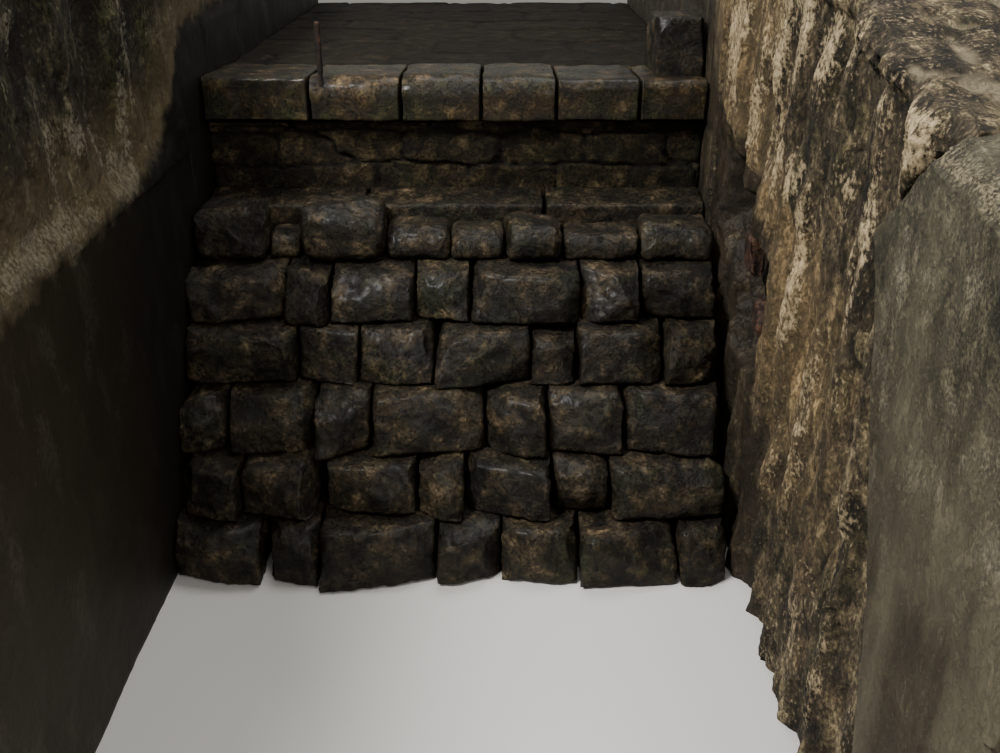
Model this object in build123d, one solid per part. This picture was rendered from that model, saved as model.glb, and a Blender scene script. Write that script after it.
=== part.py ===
from build123d import *
import math
import os

os.makedirs("parts", exist_ok=True)

# Sizes are in millimetres. X runs across the channel, +Y points upstream, Z is up from the bed.
# The origin lies on the bed, straight below the crest lip, on the channel's centre line.

# Channel and side walls
channel_width = 2000
wall_thickness = 500
upstream_length = 3000
downstream_length = 2900
freeboard = 550

# Lower face: courses of rough stones on a sloping bed, from the bottom course upwards
course_heights = (200, 180, 210, 190, 180)
lower_face_angle = 52.7
facing_depth = 300
stone_batter = 14
stone_widths = (330, 215, 430, 240, 290, 370, 180)
stone_projections = (8, 52, 0, 30, 74, 18, 60, 4, 40, 24, 66)
stone_bellies = (0.35, 0.6, 0.45, 0.7, 0.3)
stone_belly = 26
stone_round = 38
open_joint = 8

# Ledge: flat slabs behind a row of proud, worn edge stones
ledge_slab_thickness = 190
ledge_slab_depth = 180
ledge_slab_widths = (640, 720, 640)
ledge_slab_fall = 30
edge_stone_widths = (278, 124, 336, 250, 208, 228, 300, 276)
edge_stone_heights = (205, 90, 212, 118, 104, 140, 98, 132)
edge_stone_depths = (236, 178, 248, 214, 200, 238, 206, 226)
edge_stone_round = 88
edge_stone_bevel = 34

# Crest: long stones with a worn, overhanging nose above an upright drop wall
drop_height = 272
crest_stone_height = 178
crest_stone_depth = 450
crest_overhang = 42
crest_stone_widths = (420, 365, 320, 300, 330, 265)
crest_stone_wear = (0, 2, 0, 4, 8, 12)
crest_nose_rounds = (26, 84, 92, 80, 48, 36)
crest_joint = 6
crest_under_round = 14
crest_back_fall = 24
approach_bed_fall = 20

# Iron pin leaded into the crest, and the stone that stands in the corner at the crest's end
pin_diameter = 24
pin_neck_diameter = 20
pin_neck_above = 6
pin_stand = 200
pin_socket_depth = 120
pin_socket_clearance = 0.3
pin_stone = 1
pin_from_joint = 50
pin_setback = 24
pin_tip_chamfer = 4
corner_block_width = 200
corner_block_depth = 325
corner_block_height = 215
corner_block_lean = 16
corner_block_setback = 120
corner_block_bevel = 16

# Left wall: smooth, worn foot, weathered upper wall and a dressed upstream length
left_foot_height = 1360
left_upstream_start = -220
left_scallop_pitch = 430
left_scallop_depth = 34
left_scallop_lean = -150

# Right wall: fluted, weathered length, scoured hollow, smooth wing slab
right_upstream_start = -130
flute_pitch = 236
flute_depth = 56
flute_lean = -90
flute_end_margin = 40
right_top_level_end = -1100
wing_foot_y = -2450
wing_knee_y = -2270
wing_knee_height = 832
wing_shoulder_y = -1950
wing_shoulder_height = 1640
wing_apex_y = -2200
wing_apex_height = 1890
wing_end_height = 1800
wing_arris_round = 16
hollow_depth = 120
hollow_top_y = -330
hollow_far_y = -1010
hollow_far_height = 1165
hollow_top_height = 1430
hollow_floor_height = 700
hollow_toe_rise = 60
hollow_corner_round = 60
hollow_stone_size = 150
hollow_stone_shrink = 0.14
hollow_stone_bevel = 30
hollow_stone_places = ((-40, 120), (-190, 290))

# How far a cut runs past a face, and an edge lies off one to be picked
face_margin = 1

# Heights and lines that follow from the sizes above
half_width = channel_width / 2
ledge_bed = sum(course_heights)
ledge_top = ledge_bed + ledge_slab_thickness
crest_bed = ledge_top + drop_height
crest_height = crest_bed + crest_stone_height
wall_height = crest_height + freeboard
approach_bed_top = crest_height - crest_back_fall - max(crest_stone_wear)
drop_wall_y = crest_overhang
edge_stone_back_y = drop_wall_y - ledge_slab_depth
face_run = 1 / math.tan(math.radians(lower_face_angle))


def backing_y(z):
    """Y of the sloping bed behind the facing stones: a straight line down from the ledge."""
    return edge_stone_back_y - (ledge_bed - z) * face_run


def facing_y(z):
    """Y of the mean line of the lower face, one facing depth in front of its bed."""
    return backing_y(z) - facing_depth


def across(outline, x0, x1):
    """A solid with the given Y-Z outline, carried across the channel from x0 to x1."""
    face = make_face(Polyline(*[(x0, y, z) for y, z in outline], close=True))
    return extrude(face, amount=x1 - x0, dir=(1, 0, 0))


def block(x0, x1, y0, y1, z0, z1):
    """A squared stone between two opposite corners."""
    centre = Pos((x0 + x1) / 2, (y0 + y1) / 2, (z0 + z1) / 2)
    return centre * Box(x1 - x0, y1 - y0, z1 - z0)


def lofted(sections):
    """A stone lofted with straight lines through outlines at different places across the channel."""
    faces = [make_face(Polyline(*[(x, y, z) for y, z in line], close=True)) for x, line in sections]
    return loft(faces, ruled=True)


def worn_stone(x0, x1, y0, y1, z0, z1, nose_round, bevel):
    """A worn stone: round nose, bevelled ends; its bed and back stay flat."""
    stone = block(x0, x1, y0, y1, z0, z1)
    smallest = min(x1 - x0, y1 - y0, z1 - z0)
    nose = min(stone.edges().filter_by(Axis.X), key=lambda e: e.center().Y - e.center().Z)
    stone = fillet(nose, min(nose_round, 0.7 * smallest))
    off_bed_and_back = [
        e for e in stone.edges()
        if e.center().Y < y1 - face_margin and e.center().Z > z0 + face_margin
    ]
    ends = [e for e in off_bed_and_back if abs(e.tangent_at(0.5).X) < 0.5]
    return chamfer(ends, min(bevel, 0.3 * smallest))


def spans(widths, joint):
    """Left and right end of each stone in a row that fills the channel, with open joints."""
    scale_to_fit = channel_width / sum(widths)
    ends = []
    x = -half_width
    for index, width in enumerate(widths):
        right = x + width * scale_to_fit
        left_gap = 0 if index == 0 else joint / 2
        right_gap = 0 if index == len(widths) - 1 else joint / 2
        ends.append((x + left_gap, right - right_gap))
        x = right
    return ends


def save(node, *solids):
    """Write one node's solids to its own file."""
    shape = solids[0] if len(solids) == 1 else Compound(children=list(solids))
    export_step(shape, f"parts/{node}.step")


# Weir body: one mass of masonry under the crest, the ledge and the lower face
weir_outline = [
    (backing_y(0), 0),
    (edge_stone_back_y, ledge_bed),
    (drop_wall_y, ledge_bed),
    (drop_wall_y, crest_bed),
    (crest_stone_depth, crest_bed),
    (crest_stone_depth, approach_bed_top),
    (upstream_length, approach_bed_top - approach_bed_fall),
    (upstream_length, 0),
]
save("weir_core", across(weir_outline, -half_width, half_width))


# Lower face: each course is a row of rough stones that lie on the course below
def facing_stone(x0, x1, z0, z1, left_projection, right_projection, belly_share):
    """A rough stone: battered, bellied front, skewed in plan, drawn in towards both ends."""
    lean = (z1 - z0) / 2 * math.tan(math.radians(stone_batter))
    bevel = stone_round / 2

    def outline(projection):
        middle = facing_y((z0 + z1) / 2) - projection
        belly_z = z0 + (z1 - z0) * belly_share
        return [
            (backing_y(z0), z0),
            (backing_y(z1), z1),
            (middle + lean + stone_round, z1),
            (middle + lean, z1 - bevel),
            (middle - stone_belly, belly_z),
            (middle - lean, z0),
        ]

    skew = (right_projection - left_projection) / (x1 - x0)
    drawn_in = stone_belly + bevel
    return lofted([
        (x0, outline(left_projection - drawn_in)),
        (x0 + bevel, outline(left_projection + skew * bevel)),
        (x1 - bevel, outline(right_projection - skew * bevel)),
        (x1, outline(right_projection - drawn_in)),
    ])


def read_on(values, start, count):
    """The given number of values, read on from a place in an endless repeat of the list."""
    return [values[(start + k) % len(values)] for k in range(count)]


course_floor = 0
stones_laid = 0
for course, height in enumerate(course_heights):
    stones = []
    widths = read_on(stone_widths, 3 * course, len(stone_widths))
    for left, right in spans(widths, open_joint):
        left_out, right_out = read_on(stone_projections, 2 * stones_laid, 2)
        belly = stone_bellies[stones_laid % len(stone_bellies)]
        course_top = course_floor + height
        stones.append(facing_stone(left, right, course_floor, course_top, left_out, right_out, belly))
        stones_laid += 1
    save(f"lower_course_{course + 1}", *stones)
    course_floor += height

# Ledge slabs, which fall slightly towards the edge
for index, (left, right) in enumerate(spans(ledge_slab_widths, open_joint)):
    slab_outline = [
        (edge_stone_back_y, ledge_bed),
        (edge_stone_back_y, ledge_top - ledge_slab_fall),
        (drop_wall_y, ledge_top),
        (drop_wall_y, ledge_bed),
    ]
    save(f"ledge_slab_{index + 1}", across(slab_outline, left, right))

# Edge stones of the ledge
edge_rows = zip(spans(edge_stone_widths, open_joint), edge_stone_heights, edge_stone_depths)
for index, ((left, right), height, depth) in enumerate(edge_rows):
    front = edge_stone_back_y - depth
    top = ledge_bed + height
    stone = worn_stone(
        left, right, front, edge_stone_back_y, ledge_bed, top, edge_stone_round, edge_stone_bevel
    )
    save(f"edge_stone_{index + 1}", stone)

# Crest stones: rounded nose, softened underside, top falling a little towards the back
crest_ends = spans(crest_stone_widths, crest_joint)
pin_x = crest_ends[pin_stone][0] + pin_from_joint
pin_floor = crest_height - pin_socket_depth
pin_socket = Pos(pin_x, pin_setback, pin_floor) * Cylinder(
    pin_neck_diameter / 2 + pin_socket_clearance,
    pin_socket_depth + pin_stand,
    align=(Align.CENTER, Align.CENTER, Align.MIN),
)
crest_rows = zip(crest_ends, crest_stone_wear, crest_nose_rounds)
for index, ((left, right), wear, nose) in enumerate(crest_rows):
    top = crest_height - wear
    crest_outline = [
        (0, crest_bed),
        (0, top),
        (crest_stone_depth, top - crest_back_fall),
        (crest_stone_depth, crest_bed),
    ]
    stone = across(crest_outline, left, right)
    long_edges = stone.edges().filter_by(Axis.X)
    nose_edge = min(long_edges, key=lambda e: e.center().Y - e.center().Z)
    stone = fillet(nose_edge, min(nose, 0.6 * crest_stone_height))
    long_edges = stone.edges().filter_by(Axis.X)
    under_edge = min(long_edges, key=lambda e: e.center().Y + e.center().Z)
    stone = fillet(under_edge, min(crest_under_round, 0.3 * crest_overhang))
    if index == pin_stone:
        stone = stone - pin_socket
    save(f"crest_stone_{index + 1}", stone)

# Iron pin: a neck, thinned by rust, stands on the floor of the socket and carries the sound bar
pin_neck_length = pin_socket_depth + pin_neck_above
pin_bar_length = pin_stand - pin_neck_above
bar_align = (Align.CENTER, Align.CENTER, Align.MIN)
pin_neck = Cylinder(pin_neck_diameter / 2, pin_neck_length, align=bar_align)
pin_bar = Cylinder(pin_diameter / 2, pin_bar_length, align=bar_align)
pin_bar = chamfer(pin_bar.edges().sort_by(Axis.Z)[-1], pin_tip_chamfer)
pin = pin_neck + Pos(0, 0, pin_neck_length) * pin_bar
save("crest_pin", Pos(pin_x, pin_setback, pin_floor) * pin)

# Corner block, bedded on the last crest stone against the right wall
block_back_y = corner_block_setback + corner_block_depth
bed_slope = crest_back_fall / crest_stone_depth
bed_top = crest_height - crest_stone_wear[-1]
block_outline = [
    (corner_block_setback, bed_top - corner_block_setback * bed_slope),
    (corner_block_setback + corner_block_lean, bed_top + corner_block_height),
    (block_back_y - corner_block_lean, bed_top + corner_block_height - corner_block_lean / 2),
    (block_back_y, bed_top - block_back_y * bed_slope),
]
corner_block = across(block_outline, half_width - corner_block_width, half_width)
worn = [
    e for e in corner_block.edges()
    if e.center().X < half_width - face_margin and e.center().Z > bed_top + face_margin
]
save("corner_block", chamfer(worn, corner_block_bevel))


# Side walls
def flute(y, radius, taper, depth, lean, z0, z1):
    """A leaning cone that hollows one upright flute out of the right channel face.

    At the foot it goes in by depth with the full radius. Towards the head its radius shrinks by
    taper of itself, its depth by half as much, and its axis has moved along the wall by lean.
    """
    top_radius = radius * (1 - taper)
    top_depth = depth * (1 - taper / 2)
    foot = Vector(half_width + depth - radius, y, z0)
    head = Vector(half_width + top_depth - top_radius, y + lean, z1)
    axis = head - foot
    cone = Cone(radius, top_radius, axis.length, align=(Align.CENTER, Align.CENTER, Align.MIN))
    return Plane(origin=foot, z_dir=axis) * cone


def flutes(y0, y1, z0, z1, pitch, depth, lean):
    """A row of flutes a pitch apart, uneven in width, depth and lean."""
    row = []
    for k in range(int((y1 - y0) / pitch)):
        sway = math.sin(2.1 * k + 0.6)
        own_depth = depth * (0.72 + 0.28 * math.sin(1.7 * k))
        half_span = pitch * (0.5 + 0.06 * sway)
        radius = (half_span**2 + own_depth**2) / (2 * own_depth)
        y = y0 + pitch * (k + 0.5 + 0.08 * sway)
        taper = 0.14 + 0.1 * math.cos(1.3 * k)
        row.append(flute(y, radius, taper, own_depth, lean * (1 + 0.5 * sway), z0, z1))
    return row


# Left wall
left_upper_outline = [
    (-downstream_length, left_foot_height),
    (-downstream_length, wall_height),
    (left_upstream_start, wall_height),
    (left_upstream_start, left_foot_height),
]
left_upper = across(left_upper_outline, half_width, half_width + wall_thickness)
left_upper = left_upper - flutes(
    -downstream_length + flute_end_margin, left_upstream_start - flute_end_margin,
    left_foot_height - flute_end_margin, wall_height + flute_end_margin,
    left_scallop_pitch, left_scallop_depth, left_scallop_lean,
)
save("left_wall_upper", mirror(left_upper, about=Plane.YZ))

left_inner = -half_width
left_outer = -half_width - wall_thickness
left_foot = block(
    left_outer, left_inner, -downstream_length, left_upstream_start, 0, left_foot_height
)
save("left_wall_foot", left_foot)
left_upstream = block(
    left_outer, left_inner, left_upstream_start, upstream_length, 0, wall_height
)
save("left_wall_upstream", left_upstream)

# Right wall beside and above the crest
right_upstream = block(
    half_width, half_width + wall_thickness, right_upstream_start, upstream_length, 0, wall_height
)
save("right_wall_upstream", right_upstream)

# Fluted length of the right wall, trimmed to its outline and hollowed beside the weir
wing_joint = [
    (wing_apex_y, wing_apex_height),
    (wing_shoulder_y, wing_shoulder_height),
    (wing_knee_y, wing_knee_height),
    (wing_foot_y, 0),
]
fluted_outline = [
    (right_upstream_start, 0),
    (right_upstream_start, wall_height),
    (right_top_level_end, wall_height),
    *wing_joint,
]
fluted = across(fluted_outline, half_width, half_width + wall_thickness)
fluted = fluted - flutes(
    wing_foot_y, right_upstream_start - flute_end_margin,
    -flute_end_margin, wall_height + flute_end_margin,
    flute_pitch, flute_depth, flute_lean,
)
hollow_outline = [
    (hollow_top_y, hollow_top_height),
    (hollow_far_y, hollow_far_height),
    (hollow_far_y, hollow_floor_height + hollow_toe_rise),
    (facing_y(hollow_floor_height), hollow_floor_height),
    (hollow_top_y, ledge_top),
]
hollow_floor_x = half_width + hollow_depth
hollow = across(hollow_outline, half_width - face_margin, hollow_floor_x)
hollow_corners = hollow.edges().filter_by(Axis.X)
hollow = fillet(hollow_corners, hollow_corner_round)
fluted = fluted - hollow
save("right_wall_fluted", fluted)

# Rubble that shows at the back of the hollow, set on its back wall
hollow_middle_y = (hollow_top_y + hollow_far_y) / 2
stones = []
for step, (shift, drop) in enumerate(hollow_stone_places):
    size = hollow_stone_size * (1 - hollow_stone_shrink * step)
    y = hollow_middle_y + shift
    z = hollow_far_height - drop
    lump = block(hollow_floor_x - size / 2, hollow_floor_x, y - size / 2, y + size / 2, z, z + size)
    worn = [e for e in lump.edges() if e.center().X < hollow_floor_x - face_margin]
    stones.append(chamfer(worn, hollow_stone_bevel))
save("hollow_stones", *stones)

# Smooth wing slab, pointed at its top where it laps the fluted wall
wing_outline = [
    (-downstream_length, 0),
    (-downstream_length, wing_end_height),
    *wing_joint,
]
wing = across(wing_outline, half_width, half_width + wall_thickness)
arris = [
    e for e in wing.edges()
    if e.center().X < half_width + face_margin and e.center().Z > wing_knee_height
]
save("right_wing_slab", fillet(arris, wing_arris_round))
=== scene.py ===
import bpy
import numpy as np
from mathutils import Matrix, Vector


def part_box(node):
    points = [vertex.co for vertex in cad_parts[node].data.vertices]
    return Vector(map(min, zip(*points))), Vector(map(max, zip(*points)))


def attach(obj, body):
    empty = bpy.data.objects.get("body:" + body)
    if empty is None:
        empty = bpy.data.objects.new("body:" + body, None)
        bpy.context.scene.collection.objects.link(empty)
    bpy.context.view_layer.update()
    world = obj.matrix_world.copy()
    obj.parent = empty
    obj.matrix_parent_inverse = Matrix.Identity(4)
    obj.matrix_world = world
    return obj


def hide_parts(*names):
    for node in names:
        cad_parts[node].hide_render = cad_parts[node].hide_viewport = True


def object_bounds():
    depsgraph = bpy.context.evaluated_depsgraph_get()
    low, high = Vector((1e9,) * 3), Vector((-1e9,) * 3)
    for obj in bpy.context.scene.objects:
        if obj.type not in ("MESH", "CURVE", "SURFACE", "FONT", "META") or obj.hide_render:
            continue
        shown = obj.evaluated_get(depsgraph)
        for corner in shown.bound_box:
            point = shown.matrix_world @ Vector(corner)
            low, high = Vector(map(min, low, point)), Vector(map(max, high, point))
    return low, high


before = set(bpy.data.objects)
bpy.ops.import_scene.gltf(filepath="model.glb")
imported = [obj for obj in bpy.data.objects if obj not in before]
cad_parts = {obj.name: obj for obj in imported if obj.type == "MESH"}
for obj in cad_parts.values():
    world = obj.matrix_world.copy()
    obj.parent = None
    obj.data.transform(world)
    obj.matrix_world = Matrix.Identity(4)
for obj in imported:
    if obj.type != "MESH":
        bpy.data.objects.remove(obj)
cad_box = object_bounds()

# Weir body. One mass of roughly coursed rubble in lime mortar, which carries every other stone. It
# shows in the drop wall under the crest, on the approach bed, in the open joints of the lower face
# and at its upstream end.

core_low, core_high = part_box("weir_core")
slab_low, slab_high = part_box("ledge_slab_1")
crest_low, crest_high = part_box("crest_stone_1")
channel_half = core_high.x
approach_fall = 0.02
drop_course = 0.137
drop_stone = 0.33
drop_joint = 0.012
drop_tilt = 0.025
drop_setback = 0.016
bed_slab = 0.42
bed_joint = 0.018
bed_tilt = 0.012
joint_depth = 0.014


def noise(points, size, octaves=4, seed=1):
    """Roughness of stone, about -1 to 1. Heights stand on a lattice of cubes of the given size,
    picked from a random table by a code of their place, and are joined by the smooth curve
    t*t*(3-2t). Each further octave is half as coarse and half as high. A size of three numbers
    stretches the pattern."""
    heights = np.random.default_rng(seed).random(4096) * 2 - 1
    points = np.asarray(points, float)
    total = np.zeros(points.shape[:-1])
    for octave in range(octaves):
        place = points / size * 2**octave + 7.31 * octave
        cell = np.floor(place).astype(np.int64)
        share = place - cell
        share = share * share * (3 - 2 * share)
        for corner in np.ndindex(2, 2, 2):
            near = cell + corner
            code = near[..., 0] * 73856093 ^ near[..., 1] * 19349663 ^ near[..., 2] * 83492791
            code = (code ^ code >> 13) * 12741261 & 0xFFFFFFF
            weight = np.prod(np.where(corner, share, 1 - share), axis=-1)
            total += heights[(code ^ code >> 11) & 4095] * weight / 2**octave
    return total


def smooth(value, start, end):
    """A soft step: 0 before start, 1 after end, and t*t*(3-2t) in between."""
    t = np.clip((value - start) / (end - start), 0, 1)
    return t * t * (3 - 2 * t)


def rubble(along, up, length, course, joint, seed):
    """Stones of a rubble wall. Their middles stand on a grid of the given length and course, every
    other row shifted by half a stone, and chance moves each. A point belongs to the nearest middle,
    and lies in a joint where the second nearest is hardly further. Distance is the fourth root of
    the summed fourth powers, which squares the stones. Returns how deep in a joint a point lies, 0
    to 1, a number per stone, and how far its tilted face stands out there, mostly -0.4 to 0.4."""
    chance = np.random.default_rng(seed).random((5, 4096))
    along, up = along / length, up / course
    first, second = np.full(along.shape, 9.0), np.full(along.shape, 9.0)
    own, tilt, size = np.zeros((3, *along.shape))
    for row_step, column_step in np.ndindex(3, 3):
        row = np.floor(up) + row_step - 1
        shift = row % 2 / 2
        column = np.floor(along - shift) + column_step - 1
        code = (row * 157 + column * 31).astype(int) & 4095
        off_along = along - (column + shift + 0.5 + 0.6 * (chance[0][code] - 0.5))
        off_up = up - (row + 0.5 + 0.26 * (chance[1][code] - 0.5))
        distance = (off_along**4 + off_up**4 + 1e-12) ** 0.25
        nearer = distance < first
        second = np.where(nearer, first, np.minimum(second, distance))
        first = np.where(nearer, distance, first)
        own = np.where(nearer, chance[2][code], own)
        leaning = off_along * (chance[3][code] - 0.5) + off_up * (chance[4][code] - 0.5)
        tilt = np.where(nearer, leaning, tilt)
        size = np.where(nearer, course + (length - course) * (off_along / distance) ** 4, size)
    return 1 - smooth((second - first) * size, 0.3 * joint, 1.6 * joint), own, tilt


def outline(corners, spacings):
    """A closed outline as points: each side, from its corner to the next, is divided into steps of
    about its own spacing. Returns the points and the number of the side that each lies on."""
    points, sides = [], []
    for number, spacing in enumerate(spacings):
        start = np.array(corners[number])
        step = np.array(corners[(number + 1) % len(corners)]) - start
        count = max(2, round(np.linalg.norm(step) / spacing))
        points.append(start + step * np.arange(count)[:, None] / count)
        sides.append(np.full(count, number))
    return np.concatenate(points), np.concatenate(sides)


def capped(rings, steps):
    """Stacked rings with closed ends: copies of each end ring shrink evenly towards its middle."""
    share = (np.arange(1, steps) / steps)[:, None, None]
    first, last = rings[0].mean(axis=0), rings[-1].mean(axis=0)
    foot = first + (rings[0] - first) * share
    head = last + (rings[-1] - last) * share[::-1]
    return np.concatenate([foot, rings, head])


def raised(rings, relief):
    """Rings moved outwards by a relief in metres, along their normals: the step to the next point of
    a ring, crossed with the step to the next ring."""
    around = np.roll(rings, -1, axis=1) - np.roll(rings, 1, axis=1)
    normal = np.cross(around, np.gradient(rings, axis=0))
    normal /= np.maximum(np.linalg.norm(normal, axis=2, keepdims=True), 1e-12)
    return rings + normal * relief[..., None]


def skin(name, parts, material, slot, *nodes):
    """Makes one object of closed skins. Each part is its rings and its named values for the finish.
    Rings are joined by quads, and a pole in the middle of the first and the last ring closes them.
    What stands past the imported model's box is pressed back onto it."""
    points, faces, values = [], [], {}
    count = 0
    for rings, marks in parts:
        rows, around = rings.shape[:2]
        grid = count + np.arange(rows * around).reshape(rows, around)
        after = np.roll(grid, -1, axis=1)
        quads = np.stack([grid[:-1], after[:-1], after[1:], grid[1:]], axis=-1).reshape(-1, 4)
        south, north = count + rows * around, count + rows * around + 1
        foot = np.stack([after[0], grid[0], np.full(around, south)], axis=-1)
        head = np.stack([grid[-1], after[-1], np.full(around, north)], axis=-1)
        points += [rings.reshape(-1, 3), rings[[0, -1]].mean(axis=1)]
        faces += quads.tolist() + foot.tolist() + head.tolist()
        for mark, value in marks.items():
            value = np.broadcast_to(value, (rows, around))
            values.setdefault(mark, []).extend([value.ravel(), value[[0, -1]].mean(axis=1)])
        count += rows * around + 2
    mesh = bpy.data.meshes.new(name)
    mesh.from_pydata(np.clip(np.concatenate(points), *cad_box).tolist(), [], faces)
    mesh.shade_smooth()
    for mark, value in values.items():
        layer = mesh.attributes.new(mark, "FLOAT", "POINT")
        layer.data.foreach_set("value", np.concatenate(value).astype(np.float32))
    piece = bpy.data.objects.new(name, mesh)
    bpy.context.scene.collection.objects.link(piece)
    mesh.materials.append(material)
    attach(piece, "root")
    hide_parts(*nodes)


def linear(code):
    """A colour given as sRGB hex, turned into the linear light that the shader works in."""
    channel = np.array([int(code[k:k + 2], 16) for k in (1, 3, 5)]) / 255
    curve = np.where(channel <= 0.04045, channel / 12.92, ((channel + 0.055) / 1.055) ** 2.4)
    return (*curve, 1)


def add(tree, kind, settings, links):
    """Adds a shader node. A setting is one of its properties, the stops of its ramp or an unlinked
    input. A link comes from a node's first output in use, or from a node and the output's name."""
    node = tree.nodes.new("ShaderNode" + kind)

    def socket(sockets, key):
        if isinstance(key, int):
            return sockets[key]
        return next(s for s in sockets if s.enabled and key in (s.name, ""))

    for key, value in settings.items():
        if key == "stops":
            for extra in value[2:]:
                node.color_ramp.elements.new(extra[0])
            for element, (position, colour) in zip(node.color_ramp.elements, sorted(value)):
                element.position = position
                element.color = colour
        elif isinstance(key, str) and hasattr(node, key):
            setattr(node, key, value)
        else:
            socket(node.inputs, key).default_value = value
    for key, source in links.items():
        giver, output = source if isinstance(source, tuple) else (source, "")
        tree.links.new(socket(giver.outputs, output), socket(node.inputs, key))
    return node


def stone_finish(
    name, colours, patch, grain, streak, joint_colour, rough, relief, film, film_share, reflection=0.3
):
    """A weathered stone, with its lengths in millimetres. Its colour runs through the given ones in
    patches, stretched upwards by streak. Grains and chips five grains wide, stretched by its square
    root, lighten and darken it, cracks run between the chips, and each stone has its own tint. Joints
    have a colour of their own, and a film of dirt lies over a share of the stone. Roughness lies
    between the two given ends. Returns the material and what later washes need."""
    material = bpy.data.materials.new(name)
    material.use_nodes = True
    tree = material.node_tree
    shader = tree.nodes["Principled BSDF"]
    place = add(tree, "TexCoord", {}, {})
    upright = add(tree, "Mapping", {"Scale": (1, 1, 1 / streak)}, {"Vector": (place, "Object")})
    settings = {"Scale": 1000 / patch, "Detail": 7, "Roughness": 0.62, "Distortion": 0.25}
    patches = add(tree, "TexNoise", settings, {"Vector": upright})
    stops = [(0.34 + 0.34 * k / (len(colours) - 1), linear(c)) for k, c in enumerate(colours)]
    colour = add(tree, "ValToRGB", {"stops": stops}, {"Fac": patches})
    finer = add(tree, "Mapping", {"Scale": (1, 1, streak**-0.5)}, {"Vector": (place, "Object")})
    settings = {"Scale": 1000 / grain, "Detail": 4, "Roughness": 0.65}
    grains = add(tree, "TexNoise", settings, {"Vector": finer})
    settings = {"Scale": 1000 / (5 * grain), "Detail": 8, "Roughness": 0.66, "Distortion": 0.4}
    chips = add(tree, "TexNoise", settings, {"Vector": finer})
    settings = {"From Min": 0.36, "From Max": 0.64, "To Min": 0.35, "To Max": 1.65}
    speckle = add(tree, "MapRange", settings, {"Value": grains})
    settings = {"From Min": 0.36, "From Max": 0.64, "To Min": 0.5, "To Max": 1.5}
    blotch = add(tree, "MapRange", settings, {"Value": chips})
    between_chips = add(tree, "Math", {"operation": "PINGPONG", 1: 0.5}, {0: chips})
    settings = {"From Min": 0.475, "From Max": 0.498, "To Min": 1, "To Max": 0.55}
    crack = add(tree, "MapRange", settings, {"Value": between_chips})
    stone = add(tree, "Attribute", {"attribute_name": "stone"}, {})
    tint = add(tree, "MapRange", {"To Min": 0.7, "To Max": 1.3}, {"Value": (stone, "Fac")})
    shade = speckle
    for factor in (blotch, crack, tint):
        shade = add(tree, "Math", {"operation": "MULTIPLY"}, {0: shade, 1: factor})
    settings = {"Scale": 400 / patch, "Detail": 8, "Roughness": 0.7}
    spread = add(tree, "TexNoise", settings, {"Vector": upright})
    settings = {"From Min": 0.62 - 0.3 * film_share, "From Max": 0.76 - 0.3 * film_share}
    covered = add(tree, "MapRange", settings, {"Value": spread})
    settings = {"data_type": "RGBA", "B": linear(film)}
    colour = add(tree, "Mix", settings, {"Factor": covered, "A": colour})
    colour = add(tree, "VectorMath", {"operation": "SCALE"}, {"Vector": colour, "Scale": shade})
    joint = add(tree, "Attribute", {"attribute_name": "joint"}, {})
    settings = {"data_type": "RGBA", "B": linear(joint_colour)}
    colour = add(tree, "Mix", settings, {"Factor": (joint, "Fac"), "A": colour})
    settings = {"From Min": 0.35, "From Max": 0.65, "To Min": rough[0], "To Max": rough[1]}
    roughness = add(tree, "MapRange", settings, {"Value": grains})
    height = add(tree, "Math", {"operation": "MULTIPLY_ADD", 1: 0.4}, {0: grains, 2: chips})
    height = add(tree, "Math", {"operation": "MULTIPLY_ADD", 1: 0.3}, {0: crack, 2: height})
    bump = add(tree, "Bump", {"Strength": 0.9, "Distance": relief / 1000}, {"Height": height})
    tree.links.new(colour.outputs[2], shader.inputs["Base Color"])
    tree.links.new(roughness.outputs[0], shader.inputs["Roughness"])
    tree.links.new(bump.outputs[0], shader.inputs["Normal"])
    shader.inputs["IOR"].default_value = 1.5
    shader.inputs["Specular IOR Level"].default_value = reflection
    return material, tree, shader, colour, place, grains


def washed(tree, colour, code, mask, strength):
    """The colour so far, with another one washed over it where the mask says. The shader takes it."""
    share = add(tree, "Math", {"operation": "MULTIPLY", 1: strength}, {0: mask})
    settings = {"data_type": "RGBA", "B": linear(code)}
    colour = add(tree, "Mix", settings, {"Factor": share, "A": colour})
    tree.links.new(colour.outputs[2], tree.nodes["Principled BSDF"].inputs["Base Color"])
    return colour


# Gritstone rubble, silted over on the bed: brown-black, matt, with fine grit in its hollows
silted_rubble, tree, _, colour, *_ = stone_finish(
    "silted_gritstone_rubble", ["#120e07", "#1e180d", "#2b2315", "#413725"], 95, 13, 1.0,
    "#0b0905", (0.7, 0.95), 14, "#1b1c0f", 0.35, 0.15,
)
silt = add(tree, "Attribute", {"attribute_name": "silt"}, {})
washed(tree, colour, "#100c05", (silt, "Fac"), 0.72)

# The section's sides in order: underside, upstream end, approach bed, step behind the crest, crest
# bed, drop wall, ledge bed and sloping bed. Those that show are divided more finely.
upstream_end, approach_bed, drop_wall = 1, 2, 5
core_outline, core_side = outline(
    [
        (core_low.y, 0), (core_high.y, 0), (core_high.y, core_high.z - approach_fall),
        (crest_high.y, core_high.z), (crest_high.y, crest_low.z), (slab_high.y, crest_low.z),
        (slab_high.y, slab_low.z), (slab_low.y, slab_low.z),
    ],
    [0.2, 0.03, 0.02, 0.03, 0.06, 0.009, 0.06, 0.08],
)
core_rings = np.empty((140, len(core_outline), 3))
core_rings[..., 0] = np.linspace(-channel_half, channel_half, 140)[:, None]
core_rings[..., 1:] = core_outline
x, y, z = np.moveaxis(core_rings, -1, 0)
waver = 0.02 * noise(core_rings, 0.12, 3, 2)
bed_sunk, bed_own, bed_lean = rubble(x + waver, y - waver, 1.5 * bed_slab, bed_slab, bed_joint, 3)
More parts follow.
